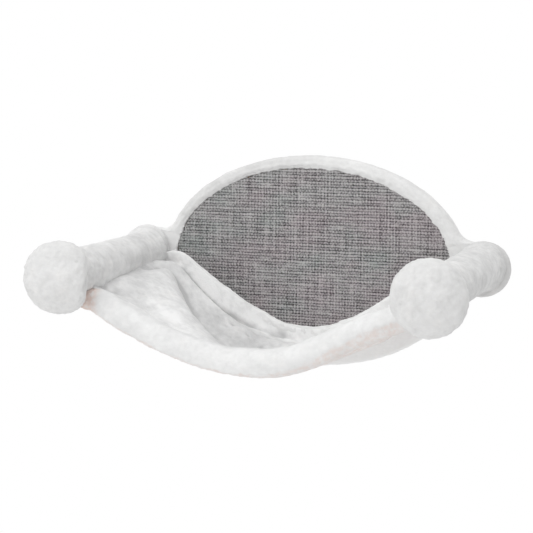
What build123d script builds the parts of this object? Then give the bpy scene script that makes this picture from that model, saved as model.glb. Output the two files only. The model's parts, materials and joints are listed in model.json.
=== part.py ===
from build123d import *
import os
from math import cos, pi, sin, sqrt

os.makedirs("parts", exist_ok=True)

# Wall-mounted cat hammock, in millimetres.
# The wall is the plane Y = 0, the hammock stands out from it towards -Y, +Z is up and +X is to the right
# of someone who faces it. The origin is the middle of the back panel, on the wall.

# Overall size: 54 cm over the knobs, about 28 cm high and 33 cm out from the wall
overall_width = 540
overall_height = 275
overall_depth = 330

# General fits
fit_gap = 0.3  # between a soft piece and what it lies against
screw_gap = 0.1  # round a screw, a bolt or an insert

# Plush: a knitted backing with a short cut pile
plush_thickness = 4.5
tucked_plush = 2  # where it is pressed flat in the rebate on the back

# Back panel: an oval board with a round ear at each end for an arm. Inset and ears are over the plush.
panel_inset = 66.5  # each end of the oval, in from the outside of the knob beside it
panel_thickness = 15
ear_radius = 35
neck_radius = 24  # hollow curve between the oval and an ear, on the board
fold_width = 16  # how far the plush is turned in on the back
panel_edge_round = 5  # front edge of the plush

# Sisal mat, let into the plush on the front
sisal_rim = 16.5  # plush left showing all round it
sisal_thickness = 4
sisal_edge_round = 1.2

# Arms: a pole in a plush sleeve, with a padded knob on its end
arm_lift = 5  # height of the arms above the middle of the panel
pole_radius = 22
sleeve_thickness = 5.2
sleeve_bunch = 3.5  # the sleeve bunches up by this much against the panel
bunch_length = 38
sleeve_end_round = 2.4

# Knobs: flattened balls of plush over wadding and a wooden disc
knob_radius = 45
knob_thickness = 54
knob_cover_thickness = 4
disc_radius = 33
disc_thickness = 12
disc_edge_round = 2

# Bolt, washer and threaded insert that hold a pole to the board
bolt_radius = 4
bolt_length = 40
bolt_head_width = 13  # across the flats
bolt_head_height = 5.3
bolt_head_sink = 0.7
washer_radius = 12
washer_thickness = 2
insert_radius = 6
insert_length = 25
insert_collar_radius = 8
insert_collar_thickness = 1.2
bolt_hole_spare = 5  # the hole in the pole goes on past the bolt

# Screw through an end disc
disc_screw_radius = 2.5
disc_screw_head_radius = 5
disc_screw_length = 50
screw_point_length = 4

# Keyhole plates in the back of the board
plate_inset = 150  # each keyhole, in from the outside of the knob beside it
plate_lift = 50  # middle of a plate above the middle of the panel
plate_width = 20
plate_height = 48
plate_thickness = 2
plate_corner = 3
keyhole_radius = 5.5
keyhole_slot = 5.2  # width of the slot
keyhole_rise = 12  # from the round hole up to the end of the slot
keyhole_drop = 6  # round hole below the middle of the plate
head_room = 8  # pocket behind a keyhole for the wall screw's head, from the wall
pocket_margin = 2
plate_screw_radius = 1.5
plate_screw_head_radius = 3
plate_screw_length = 12
plate_screw_spread = 38  # between the two screws of a plate
plate_screw_point = 2

# Staples that hold the turned-in plush
staple_count = 20
staple_crown = 10
staple_wire = 1.2
staple_wire_thickness = 0.6
staple_leg = 8
staple_sink = 0.3
staple_inset = 9  # from the edge of the board

# Sling
cloth_thickness = 3
rear_edge_out = 45  # rear edge of the sling in front of the wall
rear_hem_height = 16
rear_hem_thickness = 8
rear_drop = 85  # lowest point of the rear edge below the arms
front_hem_inset = 72  # middle of the front roll behind the outside of the knobs
front_hem_radius = 17
front_hem_wall = 4
front_hem_drop = 95.5  # lowest point of the roll's middle below the arms
sling_sag = 26  # depth of the bed below a line from rear hem to front roll
seam_sink = 2  # the cloth's side edge runs this far into the sleeve's curve before it is trimmed

# Worked out from the sizes above
arm_x = overall_width / 2 - knob_radius
panel_width = overall_width - 2 * panel_inset
plate_span = overall_width - 2 * plate_inset
sisal_width = panel_width - 2 * sisal_rim
sisal_height = overall_height - 2 * sisal_rim
board_half_width = panel_width / 2 - plush_thickness
board_half_height = overall_height / 2 - plush_thickness
board_ear_radius = ear_radius - plush_thickness
front_of_plush = panel_thickness + plush_thickness
sleeve_radius = pole_radius + fit_gap + sleeve_thickness
knob_out = overall_depth - knob_thickness / 2
front_hem_out = overall_depth - front_hem_inset
disc_back = knob_out - disc_thickness / 2
bolt_head_space = bolt_head_sink + bolt_head_height + washer_thickness
seam_x = arm_x - sleeve_radius + seam_sink
arm_sides = (("left", -arm_x), ("right", arm_x))
arm_spots = [(-arm_x, arm_lift), (arm_x, arm_lift)]
plate_spots = [(-plate_span / 2, plate_lift), (plate_span / 2, plate_lift)]


def at_depth(depth):
    """Upright plane facing away from the wall, this far in front of it."""
    return Plane.XZ.offset(depth)


def draw_panel(grow):
    """Oval and two ears, wider than the board's own outline by grow."""
    Ellipse(board_half_width + grow, board_half_height + grow)
    with Locations((-arm_x, 0), (arm_x, 0)):
        Circle(board_ear_radius + grow)


def neck_edges(part):
    """The four upright corners where the ears meet the oval."""
    return part.edges().filter_by(Axis.Y).filter_by(lambda e: abs(e.center().Z) > board_ear_radius / 4)


def save(part, name):
    part.label = name
    export_step(part, f"parts/{name}.step")


# Board without its holes: the plush is cut to the same shape
with BuildPart() as board_blank:
    with BuildSketch(at_depth(0)):
        draw_panel(0)
    extrude(amount=panel_thickness)
    fillet(neck_edges(board_blank.part), neck_radius)
    # shallow rebate round the back for the turned-in plush
    with BuildSketch(at_depth(0)):
        draw_panel(2 * plush_thickness)
        Ellipse(board_half_width - fold_width, board_half_height - fold_width, mode=Mode.SUBTRACT)
        with Locations((-arm_x, 0), (arm_x, 0)):
            Circle(board_ear_radius - fold_width, mode=Mode.SUBTRACT)
    extrude(amount=tucked_plush, mode=Mode.SUBTRACT)

# Staples: a flat crown and two legs, set round the turned-in plush
with BuildPart() as edge_staples:
    for number in range(staple_count):
        turn = 2 * pi * (number + 0.5) / staple_count
        x = (board_half_width - staple_inset) * cos(turn)
        z = (board_half_height - staple_inset) * sin(turn)
        along = Vector(-(board_half_width - staple_inset) * sin(turn), 0,
                       (board_half_height - staple_inset) * cos(turn))
        seat = Plane(origin=(x, -staple_sink, z), x_dir=along, z_dir=(0, -1, 0))
        with BuildSketch(seat):
            Rectangle(staple_crown, staple_wire)
        extrude(amount=staple_wire_thickness)
        with BuildSketch(seat):
            with GridLocations(staple_crown - staple_wire_thickness, 0, 2, 1):
                Rectangle(staple_wire_thickness, staple_wire)
        extrude(amount=staple_leg)
save(edge_staples.part, "edge_staples")

# Backboard: bolt holes with wide counterbores from behind, and lodgings for the keyhole plates
with BuildPart() as backboard:
    add(board_blank.part)
    with BuildSketch(at_depth(0)):
        with Locations(*arm_spots):
            Circle(bolt_radius + screw_gap)
    extrude(amount=panel_thickness, mode=Mode.SUBTRACT)
    with BuildSketch(at_depth(0)):
        with Locations(*arm_spots):
            Circle(washer_radius + screw_gap)
    extrude(amount=bolt_head_space, mode=Mode.SUBTRACT)
    with BuildSketch(at_depth(0)):
        with Locations(*plate_spots):
            RectangleRounded(plate_width, plate_height, plate_corner)
    extrude(amount=plate_thickness, mode=Mode.SUBTRACT)
    with BuildSketch(at_depth(0)):
        with Locations(*[(x, z - keyhole_drop + keyhole_rise / 2) for x, z in plate_spots]):
            SlotCenterToCenter(keyhole_rise, 2 * (keyhole_radius + pocket_margin), rotation=90)
    extrude(amount=head_room, mode=Mode.SUBTRACT)
    with BuildSketch(at_depth(0)):
        with Locations(*plate_spots):
            with GridLocations(0, plate_screw_spread, 1, 2):
                Circle(plate_screw_radius + screw_gap)
    extrude(amount=plate_screw_length + screw_gap, mode=Mode.SUBTRACT)
    add(edge_staples.part, mode=Mode.SUBTRACT)
save(backboard.part, "backboard")

# Edge plush: one skin over the rim, in to the mat on the front and into the rebate behind
with BuildPart() as edge_plush:
    with BuildSketch(at_depth(0)):
        draw_panel(plush_thickness)
    extrude(amount=front_of_plush)
    fillet(neck_edges(edge_plush.part), neck_radius - plush_thickness)
    fillet(edge_plush.edges().group_by(Axis.Y)[0], panel_edge_round)
    add(board_blank.part, mode=Mode.SUBTRACT)
    with BuildSketch(at_depth(0)):
        Ellipse(sisal_width / 2 + fit_gap, sisal_height / 2 + fit_gap)
    extrude(amount=front_of_plush, mode=Mode.SUBTRACT)
    with BuildSketch(at_depth(panel_thickness)):
        with Locations(*arm_spots):
            Circle(pole_radius + fit_gap)
    extrude(amount=plush_thickness, mode=Mode.SUBTRACT)
    add(edge_staples.part, mode=Mode.SUBTRACT)
save(edge_plush.part, "edge_plush")

# Sisal mat
with BuildPart() as sisal_mat:
    with BuildSketch(at_depth(panel_thickness)):
        Ellipse(sisal_width / 2, sisal_height / 2)
    extrude(amount=sisal_thickness)
    fillet(sisal_mat.edges().group_by(Axis.Y)[0], sisal_edge_round)
save(sisal_mat.part, "sisal_mat")

# Keyhole plates: the round hole takes the screw's head, the slot above it takes the shank
for side, spot in zip(("left", "right"), plate_spots):
    with BuildPart() as hanger_plate:
        with BuildSketch(at_depth(0)):
            with Locations(spot):
                RectangleRounded(plate_width - 2 * screw_gap, plate_height - 2 * screw_gap, plate_corner)
            with Locations((spot[0], spot[1] - keyhole_drop)):
                Circle(keyhole_radius, mode=Mode.SUBTRACT)
            with Locations((spot[0], spot[1] - keyhole_drop + keyhole_rise / 2)):
                SlotCenterToCenter(keyhole_rise, keyhole_slot, rotation=90, mode=Mode.SUBTRACT)
        extrude(amount=plate_thickness)
        for z in (spot[1] - plate_screw_spread / 2, spot[1] + plate_screw_spread / 2):
            with BuildSketch(Plane(origin=(spot[0], 0, z), x_dir=(1, 0, 0), z_dir=(0, 0, 1))):
                with BuildLine():
                    Polyline((0, 0), (plate_screw_head_radius + screw_gap, 0),
                             (plate_screw_radius + screw_gap, -plate_thickness), (0, -plate_thickness),
                             close=True)
                make_face()
            revolve(axis=Axis((spot[0], 0, z), (0, 1, 0)), mode=Mode.SUBTRACT)
    save(hanger_plate.part, f"{side}_hanger_plate")


def turned_screw(x, z, face, radius, head_radius, head_height, length, point, inward):
    """Countersunk screw on an axis along Y, from its head's face; inward is +1 towards the wall, -1 away."""
    with BuildSketch(Plane(origin=(x, 0, z), x_dir=(1, 0, 0), z_dir=(0, 0, 1))) as half:
        with BuildLine():
            Polyline((0, face), (head_radius, face), (radius, face + inward * head_height),
                     (radius, face + inward * (length - point)), (0, face + inward * length), close=True)
        make_face()
    revolve(half.sketch, axis=Axis((x, 0, z), (0, 1, 0)))


# Screws of the keyhole plates, driven from behind
with BuildPart() as hanger_screws:
    for x, middle in plate_spots:
        for z in (middle - plate_screw_spread / 2, middle + plate_screw_spread / 2):
            turned_screw(x, z, 0, plate_screw_radius, plate_screw_head_radius, plate_thickness,
                         plate_screw_length, plate_screw_point, -1)
save(hanger_screws.part, "hanger_screws")

# Bolts: hexagon head sunk in the back of the board, shank into the pole
with BuildPart() as arm_bolts:
    with BuildSketch(at_depth(bolt_head_sink)):
        with Locations(*arm_spots):
            RegularPolygon(bolt_head_width / 2, 6, major_radius=False)
    extrude(amount=bolt_head_height)
    with BuildSketch(at_depth(bolt_head_sink + bolt_head_height)):
        with Locations(*arm_spots):
            Circle(bolt_radius)
    extrude(amount=bolt_length)
save(arm_bolts.part, "arm_bolts")

# Washers under the bolt heads
with BuildPart() as arm_washers:
    with BuildSketch(at_depth(bolt_head_sink + bolt_head_height)):
        with Locations(*arm_spots):
            Circle(washer_radius)
            Circle(bolt_radius + screw_gap, mode=Mode.SUBTRACT)
    extrude(amount=washer_thickness)
save(arm_washers.part, "arm_washers")

# Threaded inserts in the rear ends of the poles
with BuildPart() as pole_inserts:
    with BuildSketch(at_depth(panel_thickness)):
        with Locations(*arm_spots):
            Circle(insert_radius)
    extrude(amount=insert_length)
    with BuildSketch(at_depth(panel_thickness)):
        with Locations(*arm_spots):
            Circle(insert_collar_radius)
    extrude(amount=insert_collar_thickness)
    with BuildSketch(at_depth(panel_thickness)):
        with Locations(*arm_spots):
            Circle(bolt_radius + screw_gap)
    extrude(amount=insert_length, mode=Mode.SUBTRACT)
save(pole_inserts.part, "pole_inserts")

# Poles: wooden rods from the board to the discs
pole_length = disc_back - panel_thickness
bolt_reach = bolt_head_sink + bolt_head_height + bolt_length + bolt_hole_spare - panel_thickness
disc_screw_reach = disc_screw_length - disc_thickness
for side, x in arm_sides:
    with BuildPart() as pole:
        with BuildSketch(at_depth(panel_thickness)):
            with Locations((x, arm_lift)):
                Circle(pole_radius)
        extrude(amount=pole_length)
        for radius, depth in ((insert_collar_radius, insert_collar_thickness), (insert_radius, insert_length),
                              (bolt_radius, bolt_reach)):
            with BuildSketch(at_depth(panel_thickness)):
                with Locations((x, arm_lift)):
                    Circle(radius + screw_gap)
            extrude(amount=depth, mode=Mode.SUBTRACT)
        with BuildSketch(at_depth(disc_back)):
            with Locations((x, arm_lift)):
                Circle(disc_screw_radius + screw_gap)
        extrude(amount=-disc_screw_reach, mode=Mode.SUBTRACT)
    save(pole.part, f"{side}_pole")

# Screws that hold the discs, driven from the front into the poles
with BuildPart() as end_disc_screws:
    for x, z in arm_spots:
        turned_screw(x, z, -(disc_back + disc_thickness), disc_screw_radius, disc_screw_head_radius,
                     disc_screw_head_radius - disc_screw_radius, disc_screw_length, screw_point_length, 1)
save(end_disc_screws.part, "end_disc_screws")


def draw_knob_half(shrink):
    """Half of the knob's oval, right of its axis, drawn inside its own outline by shrink."""
    across = knob_radius - shrink
    deep = knob_thickness / 2 - shrink
    with Locations((0, -knob_out)):
        Ellipse(across, deep)
        Rectangle(across, 2 * deep, align=(Align.MAX, Align.CENTER), mode=Mode.SUBTRACT)


for side, x in arm_sides:
    knob_axis = Axis((x, 0, arm_lift), (0, 1, 0))
    knob_plane = Plane(origin=(x, 0, arm_lift), x_dir=(1, 0, 0), z_dir=(0, 0, 1))

    # Wooden disc with a countersunk hole, screwed to the end of the pole
    with BuildPart() as end_disc:
        with BuildSketch(at_depth(disc_back)):
            with Locations((x, arm_lift)):
                Circle(disc_radius)
        extrude(amount=disc_thickness)
        fillet(end_disc.edges(), disc_edge_round)
        with BuildSketch(knob_plane):
            with BuildLine():
                Polyline((0, -disc_back - disc_thickness),
                         (disc_screw_head_radius + screw_gap, -disc_back - disc_thickness),
                         (disc_screw_radius + screw_gap,
                          -disc_back - disc_thickness + disc_screw_head_radius - disc_screw_radius),
                         (disc_screw_radius + screw_gap, -disc_back), (0, -disc_back), close=True)
            make_face()
        revolve(axis=knob_axis, mode=Mode.SUBTRACT)
    save(end_disc.part, f"{side}_end_disc")

    # Padding round the disc
    with BuildPart() as knob_padding:
        with BuildSketch(knob_plane):
            draw_knob_half(knob_cover_thickness + fit_gap)
        revolve(axis=knob_axis)
        with BuildSketch(at_depth(disc_back - fit_gap)):
            with Locations((x, arm_lift)):
                Circle(disc_radius + fit_gap)
        extrude(amount=disc_thickness + 2 * fit_gap, mode=Mode.SUBTRACT)
        with BuildSketch(at_depth(disc_back - fit_gap)):
            with Locations((x, arm_lift)):
                Circle(pole_radius + fit_gap)
        extrude(amount=-knob_thickness / 2, mode=Mode.SUBTRACT)
    save(knob_padding.part, f"{side}_knob_padding")

    # Plush cover, drawn in round the pole behind the disc
    with BuildPart() as knob_cover:
        with BuildSketch(knob_plane):
            draw_knob_half(0)
        revolve(axis=knob_axis)
        with BuildSketch(knob_plane):
            draw_knob_half(knob_cover_thickness)
        revolve(axis=knob_axis, mode=Mode.SUBTRACT)
        with BuildSketch(at_depth(knob_out)):
            with Locations((x, arm_lift)):
                Circle(pole_radius + fit_gap)
        extrude(amount=-knob_thickness, mode=Mode.SUBTRACT)
    save(knob_cover.part, f"{side}_knob_cover")

# Sleeve: it starts on the plush of the panel, where it bunches, and ends where the knob's cover meets the pole
knob_neck_share = (pole_radius + fit_gap) / knob_radius
sleeve_start = front_of_plush + fit_gap
sleeve_end = knob_out - knob_thickness / 2 * sqrt(1 - knob_neck_share**2) - fit_gap


def sleeve_body(x, grow):
    """Outer shape of a sleeve, bored only when it is not grown to cut its neighbours."""
    outer = sleeve_radius + grow
    bunched = outer + sleeve_bunch
    with BuildSketch(Plane(origin=(x, 0, arm_lift), x_dir=(1, 0, 0), z_dir=(0, 0, 1))) as half:
        with BuildLine():
            Polyline((0, -sleeve_end), (outer - sleeve_end_round, -sleeve_end))
            ThreePointArc((outer - sleeve_end_round, -sleeve_end),
                          (outer - sleeve_end_round * (1 - sin(pi / 4)),
                           -sleeve_end + sleeve_end_round * (1 - cos(pi / 4))),
                          (outer, -sleeve_end + sleeve_end_round))
            Line((outer, -sleeve_end + sleeve_end_round), (outer, -sleeve_start - bunch_length))
            ThreePointArc((outer, -sleeve_start - bunch_length),
                          (bunched, -sleeve_start - bunch_length / 2 + sleeve_end_round),
                          (outer + sleeve_bunch / 2, -sleeve_start))
            Polyline((outer + sleeve_bunch / 2, -sleeve_start), (0, -sleeve_start), (0, -sleeve_end))
        make_face()
    revolve(half.sketch, axis=Axis((x, 0, arm_lift), (0, 1, 0)))


for side, x in arm_sides:
    with BuildPart() as sleeve:
        sleeve_body(x, 0)
        with BuildSketch(at_depth(0)):
            with Locations((x, arm_lift)):
                Circle(pole_radius + fit_gap)
        extrude(amount=overall_depth, mode=Mode.SUBTRACT)
    save(sleeve.part, f"{side}_sleeve")

# Room that the two sleeves take, with a gap round it: it trims the sling's ends
with BuildPart() as sleeve_room:
    for side, x in arm_sides:
        sleeve_body(x, fit_gap)

# Sling: its lines run across from sleeve to sleeve. A station is a share of the distance from the middle
# to a seam, left negative. The rear edge and the front roll drop below the arms by these shares of their
# own lowest point; the photograph shows the bed hanging a little to the right.
station_shares = (-1.0, -0.87, -0.73, -0.59, -0.45, -0.31, -0.15, 0.0, 0.15, 0.31, 0.45, 0.59, 0.73, 0.87, 1.05)
rear_edge_shares = (-0.13, -0.05, 0.15, 0.38, 0.59, 0.77, 0.94, 1.0, 0.98, 0.84, 0.65, 0.42, 0.18, -0.04, -0.13)
front_hem_shares = (0.34, 0.44, 0.58, 0.72, 0.84, 0.93, 0.99, 1.0, 0.98, 0.89, 0.74, 0.59, 0.46, 0.35, 0.31)
# thickness of the roll along the same stations, as a share of its full radius
hem_girth_shares = (0.84, 0.97, 1.0, 1.0, 1.0, 1.0, 1.0, 1.0, 1.0, 1.0, 1.0, 1.0, 1.0, 0.97, 0.76)
hem_tip_share = 1.10  # the roll ends under the arms, past the seams
hem_tip_girth_share = 0.5
hem_tip_drop_share = 0.38
hem_join_share = 0.82  # height on the roll, as a share of its radius, where the cloth runs into it

# Folds of the bed at the same stations, each a share of the way from the rear hem forward and a share of
# the sag. On the left they are the crease in front of the hem, a short ridge, the trough, the long ridge
# that runs from the arm's rear end to the middle of the roll, and the smooth wall in front of it. On the
# right the cloth hangs as one full bag.
fold_shares = (
    ((0.04, -0.05), (0.08, -0.10), (0.13, -0.15), (0.20, -0.18), (0.55, -0.10)),
    ((0.03, 0.25), (0.08, 0.20), (0.12, 0.39), (0.17, 0.18), (0.55, -0.05)),
    ((0.05, 0.48), (0.20, 0.25), (0.28, 0.56), (0.35, 0.10), (0.65, -0.15)),
    ((0.09, 0.80), (0.25, 0.52), (0.42, 0.74), (0.55, -0.02), (0.76, -0.21)),
    ((0.14, 0.74), (0.28, 0.58), (0.50, 0.97), (0.72, -0.02), (0.86, -0.10)),
    ((0.18, 0.56), (0.33, 0.61), (0.58, 0.98), (0.86, 0.18), (0.94, 0.06)),
    ((0.19, 0.50), (0.34, 0.71), (0.58, 1.00), (0.85, 0.66), (0.94, 0.28)),
    ((0.18, 0.42), (0.34, 0.75), (0.56, 1.02), (0.83, 0.88), (0.93, 0.50)),
    ((0.18, 0.45), (0.34, 0.76), (0.56, 1.02), (0.82, 0.88), (0.93, 0.48)),
    ((0.18, 0.50), (0.34, 0.80), (0.56, 1.04), (0.82, 0.90), (0.93, 0.48)),
    ((0.17, 0.52), (0.33, 0.84), (0.56, 1.05), (0.82, 0.88), (0.93, 0.45)),
    ((0.15, 0.52), (0.32, 0.86), (0.55, 1.05), (0.82, 0.84), (0.93, 0.42)),
    ((0.13, 0.48), (0.30, 0.80), (0.54, 0.98), (0.81, 0.78), (0.93, 0.38)),
    ((0.10, 0.32), (0.27, 0.58), (0.52, 0.72), (0.80, 0.58), (0.93, 0.28)),
    ((0.08, 0.10), (0.22, 0.22), (0.45, 0.34), (0.72, 0.30), (0.90, 0.15)),
)


def oval_wire(depth, height, half_depth, half_height):
    """Closed oval of four arcs in a plane across X, from its middle's distance to the wall and height."""
    slant = sin(pi / 4)
    corners = [(half_depth, 0), (0, half_height), (-half_depth, 0), (0, -half_height)]
    middles = [(half_depth, half_height), (-half_depth, half_height), (-half_depth, -half_height),
               (half_depth, -half_height)]
    for number, (across, up) in enumerate(middles):
        first = corners[number]
        last = corners[(number + 1) % len(corners)]
        ThreePointArc((-depth + first[0], height + first[1]), (-depth + slant * across, height + slant * up),
                      (-depth + last[0], height + last[1]))


def slopes(heights, places):
    """Rise over run at each station of a line across the sling."""
    found = []
    for number in range(len(places)):
        before = max(number - 1, 0)
        after = min(number + 1, len(places) - 1)
        found.append((heights[after] - heights[before]) / (places[after] - places[before]))
    return found


def station_plane(x):
    """Plane across X whose own x runs along Y and whose own y runs up."""
    return Plane(origin=(x, 0, 0), x_dir=(0, 1, 0), z_dir=(1, 0, 0))


stations = [share * seam_x for share in station_shares]
rear_edge_heights = [arm_lift - share * rear_drop for share in rear_edge_shares]
front_hem_heights = [arm_lift - share * front_hem_drop for share in front_hem_shares]
front_hem_radii = [share * front_hem_radius for share in hem_girth_shares]

# Rear hem: a flat turned edge
rear_slopes = slopes(rear_edge_heights, stations)
with BuildPart() as rear_hem:
    for x, top, slope in zip(stations, rear_edge_heights, rear_slopes):
        half_height = rear_hem_height / 2 * sqrt(1 + slope**2)
        with BuildSketch(station_plane(x)):
            with BuildLine():
                oval_wire(rear_edge_out + rear_hem_thickness / 2, top - half_height, rear_hem_thickness / 2,
                          half_height)
            make_face()
    loft()
    add(sleeve_room.part, mode=Mode.SUBTRACT)
save(rear_hem.part, "rear_hem")

# Front hem: the cloth turned round a foam rod, thinner at its two tips under the arms
hem_places = [-hem_tip_share * seam_x] + stations + [hem_tip_share * seam_x]
tip_height = arm_lift - hem_tip_drop_share * front_hem_drop
tip_radius = hem_tip_girth_share * front_hem_radius
hem_heights = [tip_height] + front_hem_heights + [tip_height]
hem_radii = [tip_radius] + front_hem_radii + [tip_radius]
hem_slopes = slopes(hem_heights, hem_places)


def hem_roll(shrink, mode=Mode.ADD):
    """The roll's lofted body, thinner all round by shrink."""
    rounds = []
    for x, height, radius, slope in zip(hem_places, hem_heights, hem_radii, hem_slopes):
        with BuildSketch(station_plane(x)) as oval:
            with BuildLine():
                oval_wire(front_hem_out, height, radius - shrink, (radius - shrink) * sqrt(1 + slope**2))
            make_face()
        rounds.append(oval.sketch)
    loft(rounds, mode=mode)


with BuildPart() as front_hem:
    hem_roll(0)
    hem_roll(front_hem_wall, mode=Mode.SUBTRACT)
    add(sleeve_room.part, mode=Mode.SUBTRACT)
save(front_hem.part, "front_hem")

with BuildPart() as front_hem_foam:
    hem_roll(front_hem_wall + fit_gap)
    add(sleeve_room.part, mode=Mode.SUBTRACT)
save(front_hem_foam.part, "front_hem_foam")


straight_share = 0.002  # a stretch that bows less than this share of its length is drawn straight


def smooth_arcs(points):
    """Arcs from point to point that bend as one flowing line."""
    count = len(points)
    for number in range(count - 1):
        before = points[max(number - 1, 0)]
        first = points[number]
        last = points[number + 1]
        after = points[min(number + 2, count - 1)]
        bow = [(first[axis] + last[axis] - before[axis] - after[axis]) / 16 for axis in (0, 1)]
        middle = tuple((first[axis] + last[axis]) / 2 + bow[axis] for axis in (0, 1))
        chord = (last[0] - first[0], last[1] - first[1])
        bend = abs(chord[0] * bow[1] - chord[1] * bow[0]) / (chord[0] ** 2 + chord[1] ** 2)
        if bend < straight_share:
            Line(first, last)
        else:
            ThreePointArc(first, middle, last)


# Sling cloth: one thin sheet with its folds. Each station's line runs from the rear hem to the roll.
bed_lines = []
for number, folds in enumerate(fold_shares):
    rear_lean = sqrt(1 + rear_slopes[number] ** 2)
    roll_lean = sqrt(1 + hem_slopes[number + 1] ** 2)
    rear_out = rear_edge_out + rear_hem_thickness / 2
    rear_height = rear_edge_heights[number] - (rear_hem_height + cloth_thickness / 2) * rear_lean - 3 * fit_gap
    front_out = front_hem_out - front_hem_radii[number] * sqrt(1 - hem_join_share**2)
    front_height = front_hem_heights[number] + front_hem_radii[number] * hem_join_share * roll_lean
    line = [(-rear_out, rear_height)]
    for run, dip in folds:
        level = rear_height + run * (front_height - rear_height)
        line.append((-rear_out - run * (front_out - rear_out), level - dip * sling_sag))
    line.append((-front_out, front_height))
    bed_lines.append(line)

with BuildPart() as sling_cloth:
    for number, x in enumerate(stations):
        before = max(number - 1, 0)
        after = min(number + 1, len(stations) - 1)
        upper = []
        lower = []
        for left, (y, z), right in zip(bed_lines[before], bed_lines[number], bed_lines[after]):
            slope = (right[1] - left[1]) / (stations[after] - stations[before])
            half = cloth_thickness / 2 * sqrt(1 + slope**2)
            upper.append((y, z + half))
            lower.append((y, z - half))
        with BuildSketch(station_plane(x)):
            with BuildLine():
                smooth_arcs(upper)
                Line(upper[-1], lower[-1])
                smooth_arcs(lower[::-1])
                Line(lower[0], upper[0])
            make_face()
    loft()
    hem_roll(-fit_gap, mode=Mode.SUBTRACT)
    add(sleeve_room.part, mode=Mode.SUBTRACT)
save(sling_cloth.part, "sling_cloth")
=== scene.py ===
import json
import math
import bpy
import bmesh
import numpy as np
from mathutils import Matrix, Vector

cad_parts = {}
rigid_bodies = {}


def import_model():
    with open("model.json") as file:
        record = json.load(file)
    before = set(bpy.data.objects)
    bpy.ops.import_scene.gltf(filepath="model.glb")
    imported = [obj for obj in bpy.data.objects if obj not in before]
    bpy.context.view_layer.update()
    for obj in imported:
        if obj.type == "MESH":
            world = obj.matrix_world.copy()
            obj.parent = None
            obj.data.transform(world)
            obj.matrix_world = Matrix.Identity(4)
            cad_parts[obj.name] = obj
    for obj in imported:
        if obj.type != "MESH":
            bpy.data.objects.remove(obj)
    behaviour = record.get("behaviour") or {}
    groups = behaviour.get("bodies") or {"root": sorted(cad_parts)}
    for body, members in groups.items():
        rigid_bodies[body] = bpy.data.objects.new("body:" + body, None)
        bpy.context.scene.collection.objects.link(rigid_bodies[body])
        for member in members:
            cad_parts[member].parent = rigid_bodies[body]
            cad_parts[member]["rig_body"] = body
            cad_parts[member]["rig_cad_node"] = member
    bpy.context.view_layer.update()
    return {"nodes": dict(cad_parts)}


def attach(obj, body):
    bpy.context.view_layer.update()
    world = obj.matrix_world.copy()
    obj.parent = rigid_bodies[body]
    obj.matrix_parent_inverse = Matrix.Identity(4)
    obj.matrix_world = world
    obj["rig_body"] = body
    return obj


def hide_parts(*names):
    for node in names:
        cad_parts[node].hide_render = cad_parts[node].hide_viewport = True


# Wall-mounted cat hammock, in metres. The wall is the plane Y = 0, the arms stand out towards -Y, and +Z is up.
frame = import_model()
nodes = frame["nodes"]


# Backboard
# A 15 mm fibreboard oval with a round ear at each end. It is cut and drilled in one piece, and all the rest is
# fixed to it. It shows on the back, inside the turned-in plush.
class Strand:
    """One socket of a finish. Sums, differences and products of strands add their Math nodes."""

    def __init__(self, tree, socket=None):
        self.tree = tree
        self.socket = socket

    def node(self, kind, settings=None, inputs=None, output=0):
        """Any other node: its settings first, then the values or strands of its sockets."""
        made = self.tree.nodes.new(kind)
        for name, value in (settings or {}).items():
            setattr(made, name, value)
        for name, value in (inputs or {}).items():
            socket = made.inputs[name]
            if isinstance(value, Strand):
                self.tree.links.new(value.socket, socket)
            else:
                socket.default_value = (*value, 1) if socket.type == "RGBA" else value
        return Strand(self.tree, made.outputs[output] if made.outputs else None)

    def reckon(self, operation, first, second=0.0):
        """A Math node on two strands or values."""
        return self.node("ShaderNodeMath", {"operation": operation}, {0: first, 1: second})

    def __add__(self, other):
        return self.reckon("ADD", self, other)

    __radd__ = __add__

    def __sub__(self, other):
        return self.reckon("SUBTRACT", self, other)

    def __rsub__(self, other):
        return self.reckon("SUBTRACT", other, self)

    def __mul__(self, other):
        return self.reckon("MULTIPLY", self, other)

    __rmul__ = __mul__

    def blend(self, first, second):
        """The colour that lies between two others by this strand."""
        return self.node("ShaderNodeMix", {"data_type": "RGBA"}, {0: self, 6: first, 7: second}, 2)

    def grain(self, scale, detail=3.0, roughness=0.5, stretch=(1, 1, 1)):
        """Noise over these coordinates, which are stretched first by a factor on each axis."""
        laid = self.node("ShaderNodeVectorMath", {"operation": "MULTIPLY"}, {0: self, 1: stretch})
        return laid.node("ShaderNodeTexNoise", {},
                         {"Vector": laid, "Scale": scale, "Detail": detail, "Roughness": roughness})

    def between(self, low, high):
        """Nought below low, one above high, and even in between."""
        return self.node("ShaderNodeMapRange", {}, {"Value": self, "From Min": low, "From Max": high})


def new_finish(name):
    """An empty material, and the strand of its coordinates on the object."""
    material = bpy.data.materials.new(name)
    material.use_nodes = True
    material.node_tree.nodes.clear()
    return material, Strand(material.node_tree).node("ShaderNodeTexCoord", output="Object")


def close_finish(place, colour, rough, relief, depth, constants=None):
    """Shader and output: relief is a strand of heights from 0 to 1, and depth what it stands for in metres."""
    bump = place.node("ShaderNodeBump", {}, {"Height": relief, "Distance": depth, "Strength": 1.0})
    shader = place.node("ShaderNodeBsdfPrincipled", {},
                        {"Base Color": colour, "Roughness": rough, "Normal": bump, **(constants or {})})
    place.node("ShaderNodeOutputMaterial", {}, {"Surface": shader})


def dress(piece, material):
    """Gives every material slot of a piece this finish."""
    if not piece.material_slots:
        piece.data.materials.append(material)
    for slot in piece.material_slots:
        slot.material = material


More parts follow.
